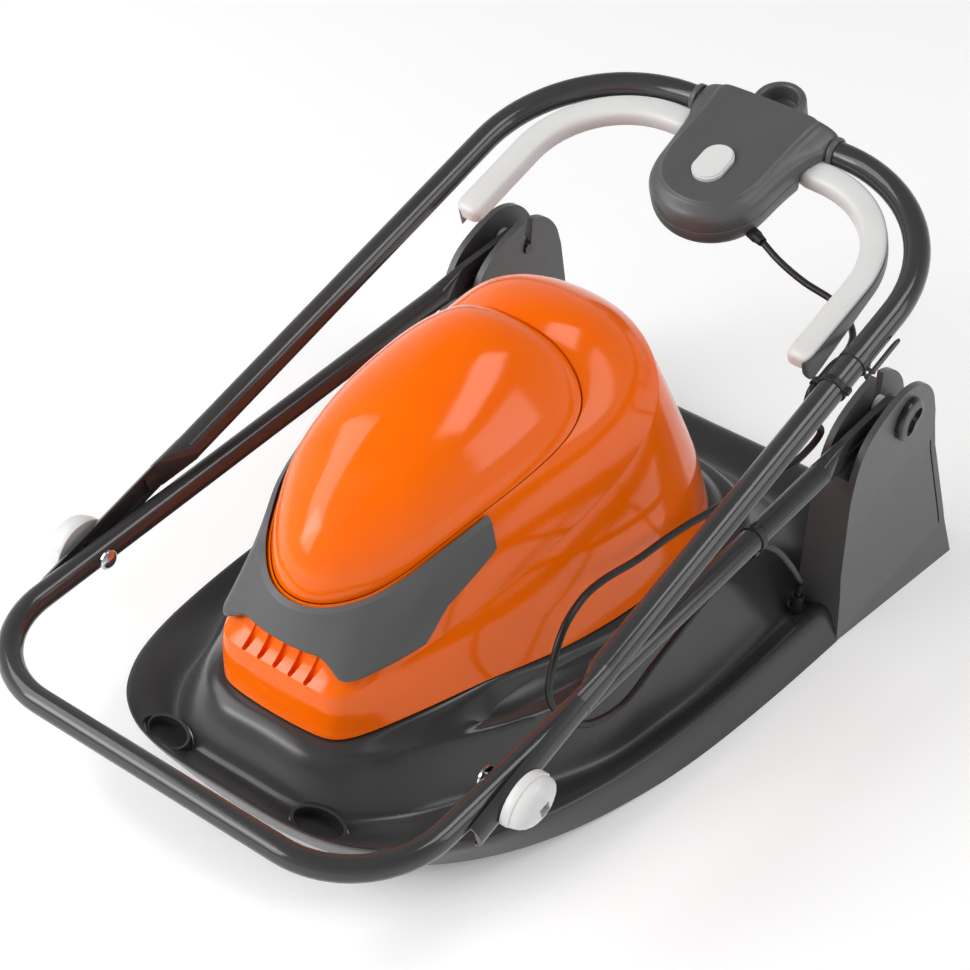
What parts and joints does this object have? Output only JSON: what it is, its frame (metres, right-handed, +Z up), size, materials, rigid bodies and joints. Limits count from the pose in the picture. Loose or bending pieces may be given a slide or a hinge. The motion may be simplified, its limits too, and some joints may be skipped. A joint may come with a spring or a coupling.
{
  "type": "hover mower",
  "caption": "Folded electric hover mower with an orange domed hood, black deck, grey brackets and a two-stage tube handle with switch box.",
  "frame": {"origin": "on the ground under the middle of the whole outline", "axes": "+Z up, -Y to the front of the mower, +X to the right seen from the front"},
  "size_m": [0.475, 0.8222, 0.3652],
  "materials": {
    "orange_gloss": "gloss",
    "black_deck": "gloss",
    "grey_satin": "satin",
    "tube_paint": "satin gloss",
    "pale_plastic": "satin",
    "bright_steel": "polished",
    "blade_steel": "brushed",
    "cast_alloy": "cast",
    "motor_steel": "satin",
    "winding": "varnished",
    "inner_black": "matte",
    "spacer_orange": "satin",
    "pin_brass": "bright",
    "cable_pvc": "satin"
  },
  "bodies": {
    "deck": {"deck_shell": "black_deck", "front_cup_left": "black_deck", "front_cup_right": "black_deck", "motor_hood": "orange_gloss", "front_bubble": "orange_gloss", "front_trim": "grey_satin", "bracket_left": "grey_satin", "bracket_right": "grey_satin", "pivot_bolt_left": "grey_satin", "pivot_bolt_right": "grey_satin", "motor_mount": "cast_alloy", "motor_can": "motor_steel", "bearing_lower": "bright_steel", "bearing_upper": "bright_steel", "deck_gland": "inner_black", "cable_lower": "cable_pvc"},
    "rotor": {"armature": "winding", "motor_shaft": "bright_steel", "impeller": "inner_black", "blade_spacer": "spacer_orange", "blade": "blade_steel", "blade_bolt": "bright_steel"},
    "lower_handle": {"lower_tube": "tube_paint", "pivot_bush_left": "pale_plastic", "pivot_bush_right": "pale_plastic", "knob_bolt_left": "bright_steel", "knob_bolt_right": "bright_steel", "lower_clip": "inner_black", "cable_loop": "cable_pvc"},
    "upper_handle": {"upper_tube": "tube_paint", "switch_box_top": "grey_satin", "switch_box_base": "grey_satin", "box_screws": "bright_steel", "button_spring": "bright_steel", "microswitch": "inner_black", "mains_inlet": "grey_satin", "inlet_pins": "pin_brass", "lead_gland": "inner_black", "upper_clip": "inner_black", "cable_hook": "tube_paint", "cable_upper": "cable_pvc"},
    "bail": {"lever_left": "pale_plastic", "lever_right": "pale_plastic", "lever_rod": "bright_steel"},
    "button": {"lock_button": "pale_plastic"},
    "knob_left": {"wing_knob_left": "pale_plastic"},
    "knob_right": {"wing_knob_right": "pale_plastic"}
  },
  "joints": [
    {"name": "lower_fold", "type": "hinge", "parent": "deck", "child": "lower_handle", "pos_m": [0, 0.2613, 0.185], "axis": [-1, 0, 0], "range_deg": [0, 135], "deforming": ["cable_loop", "cable_lower"]},
    {"name": "upper_fold", "type": "hinge", "parent": "lower_handle", "child": "upper_handle", "pos_m": [0, -0.26162, 0.13833], "axis": [1, 0, 0], "range_deg": [0, 165], "deforming": ["cable_loop", "cable_lower"]},
    {"name": "bail_squeeze", "type": "hinge", "parent": "upper_handle", "child": "bail", "pos_m": [0, 0.32603, 0.32652], "axis": [-1, 0, 0], "range_deg": [0, 5], "stiffness_Nm_per_rad": 6, "springref_deg": -8.59},
    {"name": "button_press", "type": "slide", "parent": "upper_handle", "child": "button", "axis": [0, 0.3173, -0.9483], "range_m": [0, 0.0028], "stiffness_N_per_m": 600, "springref_m": -0.002, "deforming": ["button_spring"]},
    {"name": "knob_left_turn", "type": "hinge", "parent": "lower_handle", "child": "knob_left", "pos_m": [-0.226, -0.26162, 0.13833], "axis": [1, 0, 0], "continuous": true},
    {"name": "knob_right_turn", "type": "hinge", "parent": "lower_handle", "child": "knob_right", "pos_m": [0.226, -0.26162, 0.13833], "axis": [1, 0, 0], "continuous": true},
    {"name": "rotor_spin", "type": "hinge", "parent": "deck", "child": "rotor", "pos_m": [0, 0.0333, 0.06], "axis": [0, 0, 1], "continuous": true}
  ],
  "couplings": [
    {"joint": "upper_fold", "follows": "lower_fold", "ratio": 1.2222}
  ]
}
